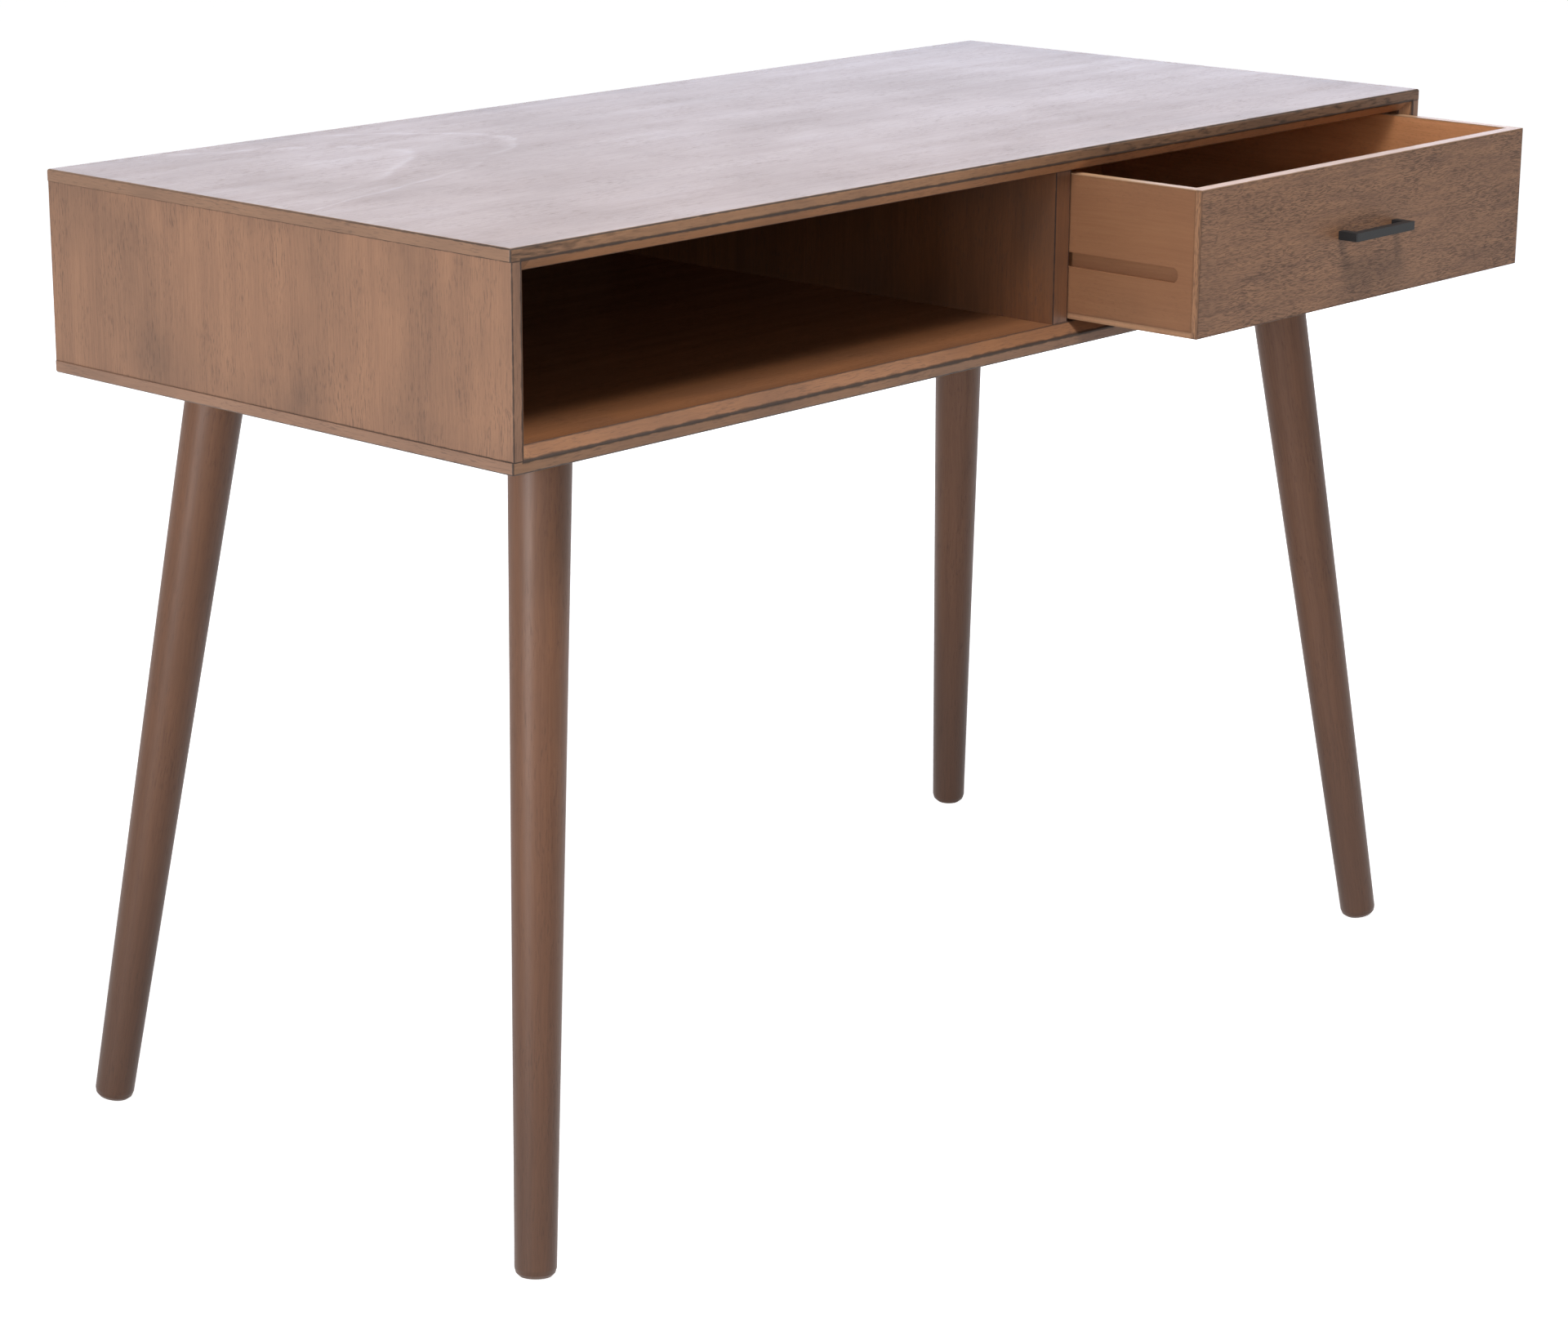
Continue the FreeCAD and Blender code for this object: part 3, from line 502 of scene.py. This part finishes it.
def round_layers(form, centre, outward, steps, radius, height, profile):
    """Rings of points round an axis that stands on centre, joined to a closed wall with a floor. A profile has
    each ring's share of the radius and of the height."""
    turn = Vector((0, 0, 1)).rotation_difference(outward).to_matrix()
    angles = [2 * math.pi * i / steps for i in range(steps)]
    rings = [[form.verts.new(centre + turn @ Vector((
        radius * share * math.cos(angle), radius * share * math.sin(angle), height * level))) for angle in angles]
        for share, level in profile]
    for lower, upper in zip(rings, rings[1:]):
        for i in range(steps):
            form.faces.new((lower[i], lower[i - steps + 1], upper[i - steps + 1], upper[i]))
    form.faces.new(reversed(rings[0]))
    return turn, rings[-1]


def pan_head(form, centre, outward, radius, height, recess):
    """Adds a round head with a pressed cross, standing on centre and facing outward."""
    steps, arm, half, taper = 24, radius * 0.52, radius * 0.13, 0.7
    turn, rim = round_layers(form, centre, outward, steps, radius, height,
                             ((1, 0), (1, 0.5), (0.9, 0.82), (0.72, 1)))
    cross = [(arm, -half), (arm, half), (half, half), (half, arm), (-half, arm), (-half, half),
             (-arm, half), (-arm, -half), (-half, -half), (-half, -arm), (half, -arm), (half, -half)]
    brim = [form.verts.new(centre + turn @ Vector((x, y, height))) for x, y in cross]
    base = [form.verts.new(centre + turn @ Vector((x * taper, y * taper, height - recess))) for x, y in cross]
    count = len(cross)
    for i in range(count):
        form.faces.new((brim[i], base[i], base[i - count + 1], brim[i - count + 1]))
    form.faces.new(base)
    rim_edges = [form.edges.get((rim[i], rim[i - 1])) for i in range(steps)]
    brim_edges = [form.edges.get((brim[i], brim[i - 1])) for i in range(count)]
    bmesh.ops.bridge_loops(form, edges=rim_edges + brim_edges)


def fit_piece(name, form, body, material):
    """Turns a form into a piece that rides on a body and takes the given finish."""
    bmesh.ops.recalc_face_normals(form, faces=form.faces)
    mesh = bpy.data.meshes.new(name)
    form.to_mesh(mesh)
    form.free()
    mesh.materials.append(material)
    piece = bpy.data.objects.new(name, mesh)
    bpy.context.scene.collection.objects.link(piece)
    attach(piece, body)


PULL_SCREW_SPACING = 0.076
pull_low, pull_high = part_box("drawer_pull")
pull_middle = (pull_low + pull_high) / 2
screws = bmesh.new()
for side in (-1, 1):
    place = Vector((pull_middle.x + side * PULL_SCREW_SPACING / 2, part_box("drawer_front")[1].y, pull_middle.z))
    pan_head(screws, place, Vector((0, 1, 0)), radius=0.004, height=0.0025, recess=0.0013)
fit_piece("pull_screws", screws, "drawer", zinc)

# Panel pins: fine steel pins with low domed heads, zinc plated. They are driven all round the back panel, into the
# rebate of the case, and all round the drawer bottom, into the sides, front and back above it.


def pin_row(start, end, spacing):
    """Places from start to end, evenly spread at about the given spacing."""
    count = max(1, round((end - start).length / spacing))
    return [start.lerp(end, i / count) for i in range(count)]


def pin_frame(name, corners, outward, spacing, body):
    """Pins all round a panel, from corner to corner."""
    steps, radius, height, dome = 12, 0.0016, 0.0005, ((1, 0), (0.92, 0.5), (0.6, 0.9), (0.2, 1))
    form = bmesh.new()
    for start, end in zip(corners, corners[1:] + corners[:1]):
        for place in pin_row(Vector(start), Vector(end), spacing):
            crown = round_layers(form, place, Vector(outward), steps, radius, height, dome)[1]
            form.faces.new(crown)
    fit_piece(name, form, body, zinc)


BACK_PIN_INSET, BACK_PIN_SPACING = 0.005, 0.12
BOTTOM_PIN_INSET, BOTTOM_PIN_SPACING = 0.006, 0.11
low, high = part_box("back_panel")
left, right = low.x + BACK_PIN_INSET, high.x - BACK_PIN_INSET
lower, upper = low.z + BACK_PIN_INSET, high.z - BACK_PIN_INSET
pin_frame("back_panel_pins", [(left, high.y, lower), (right, high.y, lower), (right, high.y, upper),
                              (left, high.y, upper)], (0, 1, 0), BACK_PIN_SPACING, "desk")
low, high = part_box("drawer_bottom")
left, right = low.x + BOTTOM_PIN_INSET, high.x - BOTTOM_PIN_INSET
near, far = low.y + BOTTOM_PIN_INSET, high.y - BOTTOM_PIN_INSET
pin_frame("drawer_bottom_pins", [(left, near, low.z), (right, near, low.z), (right, far, low.z),
                                 (left, far, low.z)], (0, 0, -1), BOTTOM_PIN_SPACING, "drawer")

# Studio: a matt pale floor that looks white but keeps a soft shadow, and white surroundings. Soft lamps stand low at
# the left and in front, high in front, and low behind for the back, and a wide cool one behind shines in the top.
# The camera stands where the photograph was taken from.

scene = bpy.context.scene
scene.view_settings.view_transform = "Standard"


def watched(tree):
    """1 for what the camera sees straight, mirrored or through glass, 0 for light on its way to the desk."""
    seen = add(tree, "LightPath").outputs
    direct = add(tree, "Math", {"operation": "MAXIMUM"}, {
        0: seen["Is Camera Ray"], 1: seen["Is Glossy Ray"]}).outputs[0]
    return add(tree, "Math", {"operation": "MAXIMUM"}, {0: direct, 1: seen["Is Transmission Ray"]}).outputs[0]


HALF_FLOOR, FLOOR_GLOW, AMBIENT = 9, 0.92, 0.12
WHITE = to_linear("#ffffff")
floor_mesh = bpy.data.meshes.new("floor")
floor_mesh.from_pydata([(x * HALF_FLOOR, y * HALF_FLOOR, 0) for x, y in ((-1, -1), (1, -1), (1, 1), (-1, 1))],
                       [], [(0, 1, 2, 3)])
floor = bpy.data.objects.new("floor", floor_mesh)
scene.collection.objects.link(floor)
pale_floor, tree, shader = new_material("pale_studio_floor")
shader.inputs["Base Color"].default_value = to_linear("#c8c8c8")
shader.inputs["Roughness"].default_value = 0.9
own_white = add(tree, "Emission", {}, {"Color": WHITE, "Strength": FLOOR_GLOW}).outputs[0]
shaded = add(tree, "BsdfDiffuse", {}, {"Color": to_linear("#cccccc")}).outputs[0]
seen_floor = add(tree, "AddShader", {}, {0: own_white, 1: shaded}).outputs[0]
mixed = add(tree, "MixShader", {}, {0: watched(tree), 1: shader.outputs[0], 2: seen_floor}).outputs[0]
tree.links.new(mixed, tree.nodes["Material Output"].inputs["Surface"])
floor_mesh.materials.append(pale_floor)

world = bpy.data.worlds.new("white_surroundings")
world.use_nodes = True
scene.world = world
tree = world.node_tree
strength = add(tree, "MapRange", {}, {"Value": watched(tree), "To Min": AMBIENT, "To Max": 1}).outputs[0]
tree.nodes["Background"].inputs["Color"].default_value = WHITE
tree.links.new(strength, tree.nodes["Background"].inputs["Strength"])


def soft_lamp(name, place, target, width, height, power, spread=180, colour="#ffffff"):
    """A studio lamp that faces the target and stays out of the picture. A grid narrows its spread."""
    lamp = bpy.data.lights.new(name, "AREA")
    lamp.shape = "RECTANGLE"
    lamp.size, lamp.size_y = width, height
    lamp.energy = power
    lamp.spread = math.radians(spread)
    lamp.color = to_linear(colour)[:3]
    stand = bpy.data.objects.new(name, lamp)
    stand.location = place
    stand.rotation_euler = (Vector(target) - Vector(place)).to_track_quat("-Z", "Y").to_euler()
    stand.visible_camera = False
    scene.collection.objects.link(stand)


soft_lamp("low_left_lamp", (-2.7, -0.3, 0.9), (-0.3, 0, 0.8), 0.9, 0.9, 7.5, spread=75)
soft_lamp("low_front_lamp", (-2.0, -2.4, 1.2), (0, 0, 0.75), 1.4, 1.0, 9)
soft_lamp("high_front_lamp", (-0.5, -1.2, 3.2), (0, 0, 0.6), 1.0, 1.0, 71)
soft_lamp("low_rear_lamp", (2.7, 2.3, 0.4), (0, 0, 0.55), 1.8, 0.5, 30)
soft_lamp("rear_lamp", (3.0, 2.4, 1.25), (0, 0, 0.76), 4.2, 1.2, 36, colour="#cbdcff")

VIEW_AZIMUTH, VIEW_ELEVATION = -46.548, 15.715
camera = bpy.data.cameras.new("camera")
camera.sensor_width = 36
camera.lens = 87.4
camera.shift_x, camera.shift_y = 0.061, -0.0221
camera.clip_end = 50
viewer = bpy.data.objects.new("camera", camera)
viewer.location = (-2.2984, -2.0735, 1.2053)
viewer.rotation_euler = (math.radians(90 - VIEW_ELEVATION), 0, math.radians(VIEW_AZIMUTH))
scene.collection.objects.link(viewer)
scene.camera = viewer
